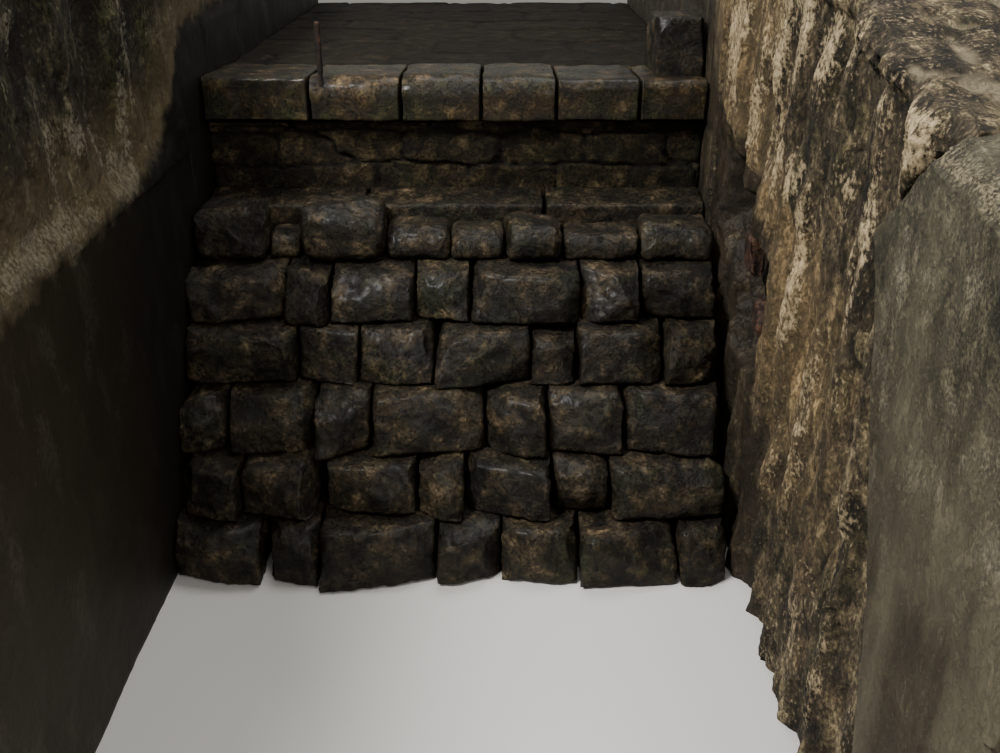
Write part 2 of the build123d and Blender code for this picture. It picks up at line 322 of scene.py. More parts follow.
wall_sunk, wall_own, wall_lean = rubble(
    x + waver, z + 0.3 * waver, drop_stone, drop_course, drop_joint, 5
)
on_bed = core_side == approach_bed
on_wall = np.isin(core_side, (upstream_end, drop_wall))
sunk = np.where(on_bed, bed_sunk, wall_sunk * on_wall)
own = np.where(on_bed, bed_own, wall_own)
tilt = np.where(on_bed, bed_tilt * bed_lean, drop_tilt * wall_lean * on_wall)
core_relief = tilt - joint_depth * sunk * np.where(on_bed, 0.6, 1) - drop_setback * own * on_wall
core_relief += np.where(on_wall, 0.007, 0.004) * (noise(core_rings, 0.09, 5, 11) - 1)
core_skin = raised(core_rings, core_relief * (core_side > 0))
core_values = capped(np.stack([sunk, own, np.broadcast_to(on_bed, sunk.shape)], axis=-1), 3)
core_marks = dict(zip(("joint", "stone", "silt"), np.moveaxis(core_values, -1, 0)))
skin("weir_core_masonry", [(capped(core_skin, 3), core_marks)], silted_rubble, "weir_stone", "weir_core")

# Lower face. Five courses of split stones, set on the sloping bed with open joints. Their faces are
# left rough from the hammer, lean back a little and stand out unevenly.

course_heights = (0.2, 0.18, 0.21, 0.19, 0.18)
stone_widths = (0.33, 0.215, 0.43, 0.24, 0.29, 0.37, 0.18)
stone_projections = (0.008, 0.052, 0, 0.03, 0.074, 0.018, 0.06, 0.004, 0.04, 0.024, 0.066)
stone_batter = np.radians(14)
facing_depth = 0.3
facing_arris = 0.016
facet_slope = 0.036
facing_knock = 0.03
open_joint = 0.008
face_run = (slab_low.y - core_low.y) / slab_low.z


def sheened(shader, film, film_roughness):
    """Lays the thin film of damp or polish over a stone."""
    shader.inputs["Coat Weight"].default_value = film
    shader.inputs["Coat Roughness"].default_value = film_roughness


# Damp gritstone, split and worn: black-brown with olive dirt, paler where it is rubbed, with a sheen
damp_gritstone, _, shader, *_ = stone_finish(
    "damp_split_gritstone", ["#0f0c06", "#1e180e", "#31281a", "#514431"], 85, 13, 1.0,
    "#090604", (0.36, 0.8), 15, "#1a1c0f", 0.35, 0.2,
)
sheened(shader, 0.09, 0.3)


def box_skin(along, depth, up, steps):
    """The skin of a box from -1 to 1 each way: a square section of depth and up steps, carried
    along X and closed at both ends by shrinking rings."""
    section, _ = outline([(-1, -1), (1, -1), (1, 1), (-1, 1)], [2 / depth, 2 / up] * 2)
    rings = np.empty((along + 1, len(section), 3))
    rings[..., 0] = np.linspace(-1, 1, along + 1)[:, None]
    rings[..., 1:] = section
    return capped(rings, steps)


def spans(widths, joint):
    """Left and right end of each stone in a row that fills the channel, with open joints."""
    edges = np.concatenate([[0], np.cumsum(widths)]) / sum(widths) * 2 * channel_half - channel_half
    gap = np.full(len(edges), joint / 2)
    gap[[0, -1]] = 0
    return zip(edges[:-1] + gap[:-1], edges[1:] - gap[1:])


def read_on(values, start, count):
    """The given number of values, read on from a place in an endless repeat of the list."""
    return [values[(start + k) % len(values)] for k in range(count)]


def split_face(unit, facets, slope, seed):
    """How far a hammer-split face stands out: the lowest of several tilted planes at each point, so
    that they meet in ridges and hollows as the facets of broken stone do."""
    chance = np.random.default_rng(seed)
    x, z = unit[..., 0], unit[..., 2]
    planes = [
        chance.uniform(0, slope) + slope * (chance.uniform(-1, 1) * x + chance.uniform(-1, 1) * z)
        for _ in range(facets)
    ]
    return np.min(planes, axis=0)


def hewn(points, cuts, depth, seed):
    """A stone with flats knocked off it: each plane, tilted at random towards the front and the
    top, presses what stands beyond it back onto itself."""
    chance = np.random.default_rng(seed)
    for direction in chance.normal(size=(cuts, 3)):
        direction[1] = -abs(direction[1])
        direction[2] = abs(direction[2])
        direction /= np.linalg.norm(direction)
        reach = points @ direction
        beyond = np.maximum(reach - reach.max() + depth * chance.uniform(0.4, 1), 0)
        points = points - beyond[..., None] * direction
    return points


def darker_in_hollows(lumps, most, start, end):
    """Darker in the hollows between a stone's lumps: none where they stand, and the most at the
    deepest. It takes the colour of the joints."""
    return most * smooth(-lumps, start, end)


def facing_stone(left, right, bed, top, left_out, right_out, seed):
    """A split stone. Its depth runs from the sloping bed behind it to a front that is the sum of the
    batter, the stone's own projection and its facets, with a quarter round along every arris. Its
    lumps and grit fade out towards the bed."""
    unit = box_skin(32, 9, 21, 5)
    along, behind, up = np.moveaxis(unit, -1, 0)
    share = (along + 1) / 2
    rise = (top - bed) / 2
    z = (bed + top) / 2 + rise * up
    back = slab_low.y - (slab_low.z - z) * face_run
    middle = slab_low.y - (slab_low.z - (bed + top) / 2) * face_run - facing_depth
    to_side = (1 - np.abs(along)) * (right - left) / 2
    to_bed = (1 - np.abs(up)) * rise
    short = np.clip(facing_arris - np.minimum(to_side, to_bed), 0, facing_arris)
    arris = facing_arris - np.sqrt(facing_arris**2 - short**2)
    out = left_out + (right_out - left_out) * share + split_face(unit, 7, facet_slope, seed)
    front = middle + up * rise * np.tan(stone_batter) - out + arris
    y = back + (front - back) * (1 - behind) / 2
    stone = hewn(np.stack([left + (right - left) * share, y, z], axis=-1), 5, facing_knock, seed)
    lumps = noise(stone, 0.09, 5, seed)
    grit = noise(stone, 0.02, 3, seed + 1)
    relief = (0.0065 * lumps + 0.003 * grit - 0.003) * smooth(1 - behind, 0, 0.5)
    return raised(stone, relief), {"joint": darker_in_hollows(lumps + 0.4 * grit, 0.75, 0.15, 0.9)}


course_floor = 0
stones_laid = 0
for course, height in enumerate(course_heights):
    stones = []
    widths = read_on(stone_widths, 3 * course, len(stone_widths))
    for left, right in spans(widths, open_joint):
        left_out, right_out = read_on(stone_projections, 2 * stones_laid, 2)
        rings, marks = facing_stone(
            left, right, course_floor, course_floor + height, left_out, right_out, 40 + stones_laid
        )
        stones.append((rings, {**marks, "stone": np.random.default_rng(stones_laid).random()}))
        stones_laid += 1
    skin(
        f"split_stones_{course + 1}", stones, damp_gritstone, "weir_stone", f"lower_course_{course + 1}"
    )
    course_floor += height

# Ledge. Flat slabs fall a little towards a row of proud boulders on its edge. The boulders were set
# as they were found and their noses are worn round; two of them stand well above the rest.

slab_arris = 0.008
ledge_fall = 0.03
boulder_nose = 0.088
boulder_round_share = 0.24
boulder_knock_share = 0.12


def rounded(unit, low, high, radius):
    """A box stone with round arrises: each point of the box lies a radius away from the nearest
    point of a smaller box, whose sides are a radius further in."""
    half = (np.array(high) - low) / 2
    point = unit * half
    inner = np.clip(point, radius - half, half - radius)
    out = point - inner
    return np.array(low) + half + inner + radius * out / np.linalg.norm(out, axis=-1, keepdims=True)


def nosed(points, front, top, radius):
    """The front top arris worn to a quarter round: points past its circle are drawn onto it."""
    offset = points[..., 1:] - (front + radius, top - radius)
    distance = np.linalg.norm(offset, axis=-1, keepdims=True)
    past = (offset[..., :1] < 0) & (offset[..., 1:] > 0) & (distance > radius)
    worn = offset * np.where(past, radius / np.maximum(distance, radius), 1)
    return np.concatenate([points[..., :1], worn + (front + radius, top - radius)], axis=-1)


def stone_grid(low, high, spacing, steps):
    """The skin of a box whose steps are about the given spacing each way."""
    counts = [max(4, round((b - a) / spacing)) for a, b in zip(low, high)]
    return box_skin(*counts, steps)


for number in range(1, 4):
    low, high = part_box(f"ledge_slab_{number}")
    slab = rounded(stone_grid(low, high, 0.014, 4), low, high, slab_arris)
    y, z = slab[..., 1], slab[..., 2]
    slab[..., 2] -= ledge_fall * (high.y - y) / (high.y - low.y) * (z - low.z) / (high.z - low.z)
    lumps = noise(slab, 0.12, 5, 70 + number)
    skin(
        f"flat_ledge_slab_{number}",
        [(raised(slab, 0.004 * lumps - 0.003), {"joint": darker_in_hollows(lumps, 0.5, 0, 0.8), "stone": 0.35})],
        damp_gritstone, "weir_stone", f"ledge_slab_{number}",
    )

for number in range(1, 9):
    low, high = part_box(f"edge_stone_{number}")
    reach = min(high - low)
    boulder = rounded(stone_grid(low, high, 0.0068, 12), low, high, boulder_round_share * reach)
    boulder = nosed(boulder, low.y, high.z, min(boulder_nose, 0.7 * reach))
    boulder = hewn(boulder, 6, boulder_knock_share * reach, 80 + number)
    lumps = noise(boulder, 0.12, 5, 90 + number)
    pits = noise(boulder, 0.018, 3, 95 + number)
    marks = {"joint": darker_in_hollows(lumps, 0.6, 0.1, 0.9), "stone": 0.15 + 0.5 * (number * 0.37 % 1)}
    skin(
        f"edge_boulder_{number}", [(raised(boulder, 0.008 * lumps + 0.002 * pits - 0.002), marks)],
        damp_gritstone, "weir_stone", f"edge_stone_{number}",
    )

# Crest. Six long stones with a worn, overhanging nose. Long wear has polished them: the middle ones
# are rolled over, the left one has kept its edge. Their tops fall a little towards the back.

crest_wear = (0, 0.002, 0, 0.004, 0.008, 0.012)
crest_nose_rounds = (0.026, 0.084, 0.092, 0.080, 0.048, 0.036)
crest_back_fall = 0.024
crest_arris = 0.009

# Polished gritstone: the same stone worn smooth, a little greener, with a soft sheen
polished_gritstone, _, shader, *_ = stone_finish(
    "polished_gritstone", ["#130e06", "#21190c", "#352916", "#53442c"], 80, 11, 1.0,
    "#0d0a05", (0.35, 0.7), 10, "#21220f", 0.5, 0.2,
)
sheened(shader, 0.12, 0.2)

for number, nose in enumerate(crest_nose_rounds, 1):
    low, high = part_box(f"crest_stone_{number}")
    top = crest_high.z - crest_wear[number - 1]
    high.z = top
    stone = rounded(stone_grid(low, high, 0.0095, 8), low, high, crest_arris)
    stone = nosed(stone, low.y, top, nose)
    lift = (stone[..., 2] - low.z) / (top - low.z)
    stone[..., 2] -= crest_back_fall * lift * (stone[..., 1] - low.y) / (high.y - low.y)
    wear = noise(stone, 0.26, 2, 100 + number)
    lumps = noise(stone, 0.07, 5, 110 + number)
    off_ends = smooth(np.minimum(stone[..., 0] - low.x, high.x - stone[..., 0]), 0, 0.05)
    relief = 0.007 * wear * off_ends + 0.003 * lumps - 0.001 - 0.002 * (1 - off_ends)
    marks = {"joint": darker_in_hollows(lumps, 0.6, 0.1, 0.9), "stone": 0.2 + 0.6 * (number * 0.41 % 1)}
    skin(
        f"crest_nose_stone_{number}", [(raised(stone, relief), marks)],
        polished_gritstone, "crest_stone", f"crest_stone_{number}",
    )

# Crest pin. A bar of wrought iron, leaded into the nose of the second crest stone, as for holding a
# board along the crest. Rust has thinned its neck and pitted the bar.

pin_low, pin_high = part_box("crest_pin")
pin_middle = (pin_low + pin_high) / 2
pin_radius = pin_high.x - pin_middle.x
neck_radius = 0.01
neck_top = crest_high.z + 0.006
neck_taper = 0.004
tip_chamfer = 0.004

heights = np.linspace(pin_low.z, pin_high.z, 90)
angles = np.linspace(0, 2 * np.pi, 28, endpoint=False)
swelling = smooth(heights, neck_top - neck_taper, neck_top + neck_taper)
radii = neck_radius + (pin_radius - neck_radius) * swelling
radii -= np.clip(heights - (pin_high.z - tip_chamfer), 0, tip_chamfer)
pin = np.empty((len(heights), len(angles), 3))
pin[..., 0] = pin_middle.x + radii[:, None] * np.cos(angles)
pin[..., 1] = pin_middle.y + radii[:, None] * np.sin(angles)
pin[..., 2] = heights[:, None]
rust_scale = noise(pin, (0.012, 0.012, 0.03), 3, 131)

# Rusted wrought iron: flaking brown oxide with brighter orange where it is fresh, quite dull
rusted_iron, *_ = stone_finish(
    "rusted_wrought_iron", ["#0d0906", "#1a110b", "#2a190f", "#432615"], 30, 4, 2.0,
    "#0b0805", (0.6, 0.9), 2, "#20130b", 0.3,
)
skin(
    "rusted_pin", [(capped(raised(pin, 0.0009 * rust_scale - 0.0006), 4), {"joint": 0, "stone": 0.5})],
    rusted_iron, "rusted_iron", "crest_pin",
)

# Corner block. One squared stone on the last crest stone, set against the right wall where the
# approach narrows. It has lost its arrises and is a little thinner at its top.

block_arris = 0.014
block_thinning = 0.016

low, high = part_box("corner_block")
block = rounded(stone_grid(low, high, 0.0085, 10), low, high, block_arris)
lean = block_thinning * (block[..., 2] - low.z) / (high.z - low.z)
block[..., 1] += lean * (low.y + high.y - 2 * block[..., 1]) / (high.y - low.y)
block = hewn(block, 4, 0.02, 140)
lumps = noise(block, 0.09, 5, 141)
skin(
    "corner_stone",
    [(raised(block, 0.006 * lumps - 0.005), {"joint": darker_in_hollows(lumps, 0.6, 0, 0.8), "stone": 0.3})],
    damp_gritstone, "crest_stone", "corner_block",
)

# Left wall. Rubble in lime mortar, coated on its channel face. The foot is worn smooth and is dark up
# to the damp line, from damp and painted shadow together. Above it the coat has weathered into soft
# lumps, and near the weir it is sound.

wall_thickness = 0.5
back_course = 0.2
back_stone = 0.42
back_joint = 0.02
back_joint_depth = 0.018
back_tilt = 0.05
back_setback = 0.012
back_lumps = 0.007
back_wear = 0.014
wear_reach = 0.12
top_margin = 0.001
arris_wear = 0.014
coat_lap = 0.03
scallop_pitch = 0.43
scallop_depth = 0.034
scallop_lean = -0.15
flute_margin = 0.04
foot_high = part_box("left_wall_foot")[1]
# Pairs of a place along the channel and the height there of the damp line, which is also the edge
# of the painted shadow on the foot
damp_and_shadow_line = ((-2.9, 1.36), (-0.95, 1.37), (-0.5, 1.43), (-0.38, 1.56), (-0.2, 1.76), (0, 1.82),
             (3.0, 1.86))


def on_line(line, place):
    """The second number of a line given as pairs, read straight between them at a first number."""
    return np.interp(place, *zip(*line))


def inset(ring, steps):
    """Copies of a level hoop that shrink evenly from all four sides, down to a fine line along its
    middle. A copy keeps its share of the shorter side, and as much is cut off the longer one."""
    share = np.linspace(0.004, 1, steps - 1, endpoint=False)[:, None]
    low, high = ring[:, :2].min(axis=0), ring[:, :2].max(axis=0)
    kept = 1 - (1 - share) * np.min(high - low) / (high - low)
    copies = np.repeat(ring[None], steps - 1, axis=0)
    copies[..., :2] = (low + high) / 2 + (ring[:, :2] - (low + high) / 2) * kept[:, None]
    return copies


def wall_rings(levels, down_end, up_end, side, face_step, back_step, steps):
    """A side wall as level hoops, one above another: the channel face, the downstream end, the back
    and the upstream end. Both ends may move with the level. Returns the hoops, closed by inset
    copies, and the number of the face that each point lies on: 0 to 3, and 4 on top and below."""
    down_end, up_end, _ = np.broadcast_arrays(down_end, up_end, levels)
    length = np.max(up_end - down_end)
    end_step = 0.04 / wall_thickness
    corners = [(0, 1), (0, 0), (1, 0), (1, 1)]
    section, number = outline(corners, [face_step / length, end_step, back_step / length, end_step])
    rings = np.empty((len(levels), len(section), 3))
    rings[..., 0] = side * (channel_half + wall_thickness * section[:, 0])
    rings[..., 1] = down_end[:, None] + (up_end - down_end)[:, None] * section[:, 1]
    rings[..., 2] = levels[:, None]
    rings = np.concatenate([inset(rings[0], steps), rings, inset(rings[-1], steps)[::-1]])
    face = np.full(rings.shape[:2], 4)
    face[steps - 1:1 - steps] = number
    return (rings, face) if side > 0 else (rings[:, ::-1], face[:, ::-1])


def near(depth):
    """The share of the wear that a point takes: all on a face, and none at wear_reach under it."""
    return 1 - smooth(depth, 0, wear_reach)


def arris(distance, width=0.035):
    """Wear of an arris: full on the edge, and gone a width away from it."""
    return arris_wear * (1 - smooth(distance, 0, width))


def masonry(rings, along, up, seed):
    """Roughly coursed rubble, laid out along two coordinates: its relief, and the two marks. The
    relief is the sum of sunk joints, stones that stand back, their tilted faces and their lumps."""
    waver = 0.02 * noise(rings, 0.15, 3, seed + 4)
    sunk, own, tilt = rubble(along + waver, up + waver, back_stone, back_course, back_joint, seed)
    lumps = back_lumps * noise(rings, 0.1, 4, seed + 3)
    relief = back_tilt * tilt * (1 - sunk) - back_joint_depth * sunk - back_setback * own
    return relief + lumps - back_wear, sunk, own


def worn_wall(rings, face, side, channel_relief, top, ends, seed):
    """A side wall worn on its free faces. Every point moves straight out of each face that it lies
    near, by that face's relief, and less the deeper it lies, so that arrises and corners stay whole.
    The channel face has its own relief and the others are rubble. top is the height of the top at
    each point, and ends are the places of the free ends; a face that meets another piece has none.
    Returns the worn rings, where they wear the coat of the channel face, which is there and just
    round its arrises, and the marks of the rubble, which has none under the coat."""
    x, y, z = np.moveaxis(rings, -1, 0)
    depth = side * x - channel_half
    relief, sunk, own = masonry(rings, y, z, seed)
    moved = np.stack([
        side * (relief * near(wall_thickness - depth) - channel_relief * near(depth)), 0 * y, 0 * z,
    ], axis=-1)
    end_relief, end_sunk, end_own = masonry(rings, x, z, seed)
    on_end = np.isin(face, (1, 3))
    sunk, own = np.where(on_end, end_sunk, sunk), np.where(on_end, end_own, own)
    for place, outward in ends:
        moved[..., 1] += outward * end_relief * near(outward * (place - y))
    if top is not None:
        top_relief, top_sunk, top_own = masonry(rings, y, x, seed)
        top_relief = top_relief - arris(depth) - arris(wall_thickness - depth)
        moved[..., 2] += top_relief * near(top - z)
        on_top = top - z < top_margin
        sunk, own = np.where(on_top, top_sunk, sunk), np.where(on_top, top_own, own)
    coated = (face == 0) | (depth < coat_lap)
    return rings + moved, coated, np.where(coated, 0, sunk), np.where(coated, 0.5, own)


def hollows(y, z, y0, y1, z0, z1, pitch, depth, lean):
    """How deep a row of leaning upright flutes goes into a channel face. Each is part of a cone: at
    a height its depth is what its circle reaches past the face, and its middle leans with height.
    Sines of a flute's number make its width, depth, taper and lean its own."""
    deepest = np.zeros_like(y)
    rise = (z - z0) / (z1 - z0)
    for k in range(int((y1 - y0) / pitch)):
        sway = np.sin(2.1 * k + 0.6)
        own_depth = depth * (0.72 + 0.28 * np.sin(1.7 * k))
        half_span = pitch * (0.5 + 0.06 * sway)
        radius = (half_span**2 + own_depth**2) / (2 * own_depth)
        taper = 0.14 + 0.1 * np.cos(1.3 * k)
        middle = y0 + pitch * (k + 0.5 + 0.08 * sway) + lean * (1 + 0.5 * sway) * rise
        axis = (own_depth - radius) + (radius * taper - own_depth * taper / 2) * rise
        reach = radius * (1 - taper * rise)
        chord = np.sqrt(np.maximum(reach**2 - (y - middle)**2, 0))
        deepest = np.maximum(deepest, axis + chord)
    return deepest


def left_length(name, node, levels, steps, relief_of, top, *ends):
    """One length of the left wall: its own relief on the channel face, rubble on its free faces. Pale
    crust gathers in patches, and in a broken band along the damp line downstream of the weir."""
    low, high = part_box(node)
    rings, face = wall_rings(levels, low.y, high.y, -1, *steps)
    y, z = rings[..., 1], rings[..., 2]
    channel_relief = relief_of(rings)
    worn, coated, sunk, own = worn_wall(rings, face, -1, channel_relief, top, ends, 240)
    # Height above the line where the damp and the painted shadow of the foot end
    above_damp = z - on_line(damp_and_shadow_line, y)
    crusted = smooth(noise(rings, (0.3, 0.1, 0.24), 4, 245), -0.1, 0.8)
    along_line = smooth(above_damp, -0.03, 0.04) * (1 - smooth(above_damp, 0.06, 0.22))
    along_line *= smooth(-y, 0.85, 1.3) * (0.6 + 0.35 * noise(rings, 0.11, 3, 246))
    crusted = np.maximum(crusted, along_line)
    marks = {
        "joint": np.where(coated, 0.8 * smooth(-channel_relief, 0.02, 0.06), 0),
        "mortar": sunk,
        "stone": own,
        "above_damp": np.where(coated, above_damp, 1),
        "crust": np.where(coated, crusted, 0.4 * crusted * (1 - sunk)),
        # Painted shade that deepens towards the weir, where the foot is also soaked
        "soaked": np.where(coated, smooth(y, -2.3, -0.6), 0),
    }
    skin(name, [(worn, marks)], damp_and_shade_marked_coat, "left_wall_stone", node)


def ragged(tree, place, mark, start, end, size, amount):
    """A mask with a ragged edge: the named value, plus noise of the given size in millimetres and
    the given amount, taken from 0 at start to 1 at end."""
    value = add(tree, "Attribute", {"attribute_name": mark}, {})
    wave = add(tree, "TexNoise", {"Scale": 1000 / size, "Detail": 7}, {"Vector": (place, "Object")})
    shift = add(tree, "Math", {"operation": "MULTIPLY_ADD", 1: amount, 2: -amount / 2}, {0: wave})
    total = add(tree, "Math", {"operation": "ADD"}, {0: (value, "Fac"), 1: shift})
    return add(tree, "MapRange", {"From Min": start, "From Max": end}, {"Value": total})


def specked(tree, mask, grains):
    """The mask broken up into specks: the weaker it is, the fewer grains are bright enough."""
    total = add(tree, "Math", {"operation": "MULTIPLY_ADD", 1: 0.26}, {0: mask, 2: grains})
    return add(tree, "MapRange", {"From Min": 0.62, "From Max": 0.84}, {"Value": total})


def mortared(tree, place, colour, code, strength):
    """The colour so far, with lime mortar of a given grey in the joints of the faces that are
    rubble."""
    mortar = ragged(tree, place, "mortar", 0.3, 0.8, 45, 0.5)
    return washed(tree, colour, code, mortar, strength)


def dampened(tree, shader, damp):
    """Sets the roughness by the mask of the damp: matt where dry, and a dull gloss where damp."""
    roughness = add(tree, "MapRange", {"To Min": 0.88, "To Max": 0.6}, {"Value": damp})
    tree.links.new(roughness.outputs[0], shader.inputs["Roughness"])


# Lime coat, weathered: brown-grey with pale crust above the damp line, black-brown below it from damp
# and painted shadow together, and near black towards the weir
damp_and_shade_marked_coat, tree, shader, colour, place, grains = stone_finish(
    "damp_and_shade_marked_lime_coat", ["#15120c", "#272117", "#3e3829", "#645c4a"], 110, 12, 1.6,
    "#14100a", (0.75, 0.95), 17, "#292912", 0.4, 0.2,
)
sound = ragged(tree, place, "above_damp", 0.36, 0.08, 160, 0.3)
colour = washed(tree, colour, "#63563e", sound, 0.6)
pale = specked(tree, ragged(tree, place, "crust", 0.2, 0.9, 60, 0.9), grains)
colour = washed(tree, colour, "#857c6a", pale, 0.65)
colour = mortared(tree, place, colour, "#766d5b", 0.72)
# Damp and painted shadow below the line, with deeper painted shade towards the weir
damp = ragged(tree, place, "above_damp", 0.035, -0.03, 70, 0.16)
colour = washed(tree, colour, "#0e0b05", damp, 0.82)
soaked = ragged(tree, place, "soaked", 0, 1, 220, 0.5)
blackest = add(tree, "Math", {"operation": "MULTIPLY"}, {0: damp, 1: soaked})
washed(tree, colour, "#040302", blackest, 0.8)
dampened(tree, shader, damp)
bump_strength = add(tree, "MapRange", {"To Min": 0.9, "To Max": 0.3}, {"Value": damp})
tree.links.new(bump_strength.outputs[0], tree.nodes["Bump"].inputs["Strength"])


def washed_foot(rings):
    """The smooth foot: broad, shallow undulations and fine grit."""
    grit = noise(rings, 0.03, 3, 201)
    return 0.007 * noise(rings, 0.5, 4, 200) + 0.0012 * grit - 0.007


def weathered_coat(rings):
    """The upper coat: scallops, lumps and pits that fade out towards the weir, and a worn top."""
    y, z = rings[..., 1], rings[..., 2]
    foot, top = foot_high.z - flute_margin, cad_box[1].z + flute_margin
    scallops = hollows(
        y, z, cad_box[0].y + flute_margin, foot_high.y - flute_margin, foot, top,
        scallop_pitch, scallop_depth, scallop_lean,
    )
    rough = smooth(-y, 0.45, 0.75)
    lumps = noise(rings, (0.2, 0.16, 0.24), 5, 210)
    pits = smooth(noise(rings, 0.045, 3, 211), 0.35, 0.9)
    above_foot = smooth(z, foot_high.z, foot_high.z + 0.13)
    return -(
        above_foot * (scallops + rough * (0.02 + 0.022 * lumps + 0.012 * pits))
        + 0.005 * (1 + noise(rings, 0.07, 4, 212)) + arris(cad_box[1].z - z)
    )


def dressed_face(rings):
    """The upstream face: large worn blocks with shut joints, and a worn top."""
    sunk, own, _ = rubble(rings[..., 1], rings[..., 2], 0.72, 0.36, 0.014, 220)
    return -(0.006 * sunk + 0.004 * own + 0.005 * (1 + noise(rings, 0.16, 5, 221))
             + arris(cad_box[1].z - rings[..., 2]))


# A ring 2 mm from the joint keeps the two faces' shading apart, so the joint stays a fine line
foot_levels = np.append(np.linspace(0, foot_high.z - 0.002, 77), foot_high.z)
upper_levels = np.append(foot_high.z, np.linspace(foot_high.z + 0.002, cad_box[1].z, 83))
left_length(
    "smooth_left_foot", "left_wall_foot", foot_levels, (0.019, 0.025, 4), washed_foot, None,
    (cad_box[0].y, -1),
)
left_length(
    "weathered_left_wall", "left_wall_upper", upper_levels, (0.0095, 0.025, 13), weathered_coat,
    cad_box[1].z, (cad_box[0].y, -1),
)
left_length(
    "upstream_left_wall", "left_wall_upstream", np.linspace(0, cad_box[1].z, 88), (0.024, 0.025, 13),
    dressed_face, cad_box[1].z, (cad_box[1].y, 1),
)

# Right wall. The length above the crest is like the left one. Downstream the coat has been scoured
# into upright flutes. Beside the weir it is damp and painted dark as shade, and the coat is gone from a
# hollow that shows rubble, which is painted dark as shade too.

flute_pitch = 0.236
flute_depth = 0.056
flute_lean = -0.09
flute_arris = 0.035
streak_lean = 0.2
top_level_end = -1.1
torn_height = 0.09
crevice_width = 0.03
crevice_depth = 0.012
hollow_depth = 0.12
hollow_edge = 0.05
hollow_corners = ((-0.33, 1.43), (-1.01, 1.165), (-1.01, 0.76), (-0.636, 0.7), (-0.33, 1.15))
fluted_low, fluted_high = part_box("right_wall_fluted")
# Pairs of a height and where, along the channel, the wing slab and the strip of damp and painted
# shade end there
wing_joint = ((0, -2.45), (0.832, -2.27), (1.64, -1.95), (1.89, -2.2))
strip_edge = ((0, -1.3), (0.6, -1.12), (1.0, -0.98), (1.24, -0.97), (1.38, -0.78), (1.44, -0.46),
              (1.54, -0.18), (1.7, -0.04), (2.15, 0.1))
(nose_height, nose_end), (peak_height, peak_end) = wing_joint[2:]


def inside_hollow(y, z):
    """How far a point lies inside the hollow's outline: the least distance to any of its sides."""
    nearest = np.full_like(y, 9)
    for (y0, z0), (y1, z1) in zip(hollow_corners, hollow_corners[1:] + hollow_corners[:1]):
        across = (y - y0) * (z1 - z0) - (z - z0) * (y1 - y0)
        nearest = np.minimum(nearest, -across / np.hypot(y1 - y0, z1 - z0))
    return nearest


# Lime coat over sandstone rubble, scoured: tan, streaked downwards, with pale sandy specks on its
# ridges that are also painted highlights. The ochre tint, partly an ochre stain and partly painted
# sunlight, is multiplied over it, which warms and lightens the grit and keeps its grain.
scoured_coat, tree, shader, colour, place, grains = stone_finish(
    "scoured_tan_coat", ["#1b160e", "#332b1d", "#534835", "#817355"], 75, 11, 3.0,
    "#130e07", (0.78, 0.96), 15, "#2c2817", 0.35,
)
# Partly ochre stain and partly painted sunlight, warming and lightening the band beside the strip
ochre = ragged(tree, place, "ochre", 0.2, 1.0, 110, 1.5)
settings = {"data_type": "RGBA", "blend_type": "MULTIPLY", "B": (1.6, 1.4, 1.15, 1)}
colour = add(tree, "Mix", settings, {"Factor": ochre, "A": colour})
colour = washed(tree, colour, "#7c6b4e", ochre, 0.22)
# Pale sandy specks, which are also painted highlights on the flute ridges
ridge = specked(tree, ragged(tree, place, "ridge", 0.1, 0.75, 60, 1.0), grains)
colour = washed(tree, colour, "#c0ab85", ridge, 0.78)
colour = mortared(tree, place, colour, "#786e57", 0.7)
# Damp and painted shade: a dark wash and a dull gloss on the strip beside the weir and in the hollow
strip = ragged(tree, place, "strip", 0.35, 0.65, 90, 0.4)
washed(tree, colour, "#1e160b", strip, 0.72)
dampened(tree, shader, strip)

levels = np.concatenate([
    np.linspace(0, peak_height, 190), np.linspace(peak_height + 0.004, fluted_high.z, 68)
])
down_end = on_line((*wing_joint, (fluted_high.z, top_level_end)), levels)
rings, face = wall_rings(levels, down_end, fluted_high.y, 1, 0.0095, 0.036, 13)
y, z = rings[..., 1], rings[..., 2]
flutes = hollows(
    y, z, fluted_low.y, fluted_high.y - flute_margin, -flute_margin, fluted_high.z + flute_margin,
    flute_pitch, flute_depth, flute_lean,
)
flutes *= smooth(flutes, 0, flute_arris)
leaning = rings + np.stack([0 * z, streak_lean * z, 0 * z], axis=-1)
fibres = noise(leaning, (0.06, 0.036, 0.15), 5, 270)
lumps = noise(leaning, (0.2, 0.15, 0.26), 4, 271)
scales = np.abs(noise(leaning, (0.2, 0.075, 0.3), 4, 275))
splits = 1 - smooth(np.abs(noise(leaning, (0.25, 0.17, 0.8), 3, 272)), 0, 0.035)
inside = inside_hollow(y, z) + 0.03 * noise(rings, 0.12, 4, 273)
scour = smooth(inside, -0.25 * hollow_edge, hollow_edge)
beside_joint = np.abs(y - on_line(wing_joint, z))
crevice = np.where(z < peak_height, 1 - smooth(beside_joint, 0, crevice_width), 0)
slope_top = np.interp(y, [peak_end, top_level_end], [peak_height, fluted_high.z])
below_top = smooth(slope_top - z, 0, torn_height)
channel_relief = -(
    flutes * (1 - scour) + 0.009 * (1 + fibres)
    + below_top * (0.014 * (0.9 + lumps) + 0.014 * splits + 0.02 * (0.9 - np.minimum(scales, 0.9)))
    + crevice_depth * crevice + arris(slope_top - z, 0.05)
    + scour * (hollow_depth + 0.02 * noise(rings, 0.09, 4, 274))
)
worn, coated, sunk, own = worn_wall(rings, face, 1, channel_relief, slope_top, (), 260)
past_strip = on_line(strip_edge, z) - y
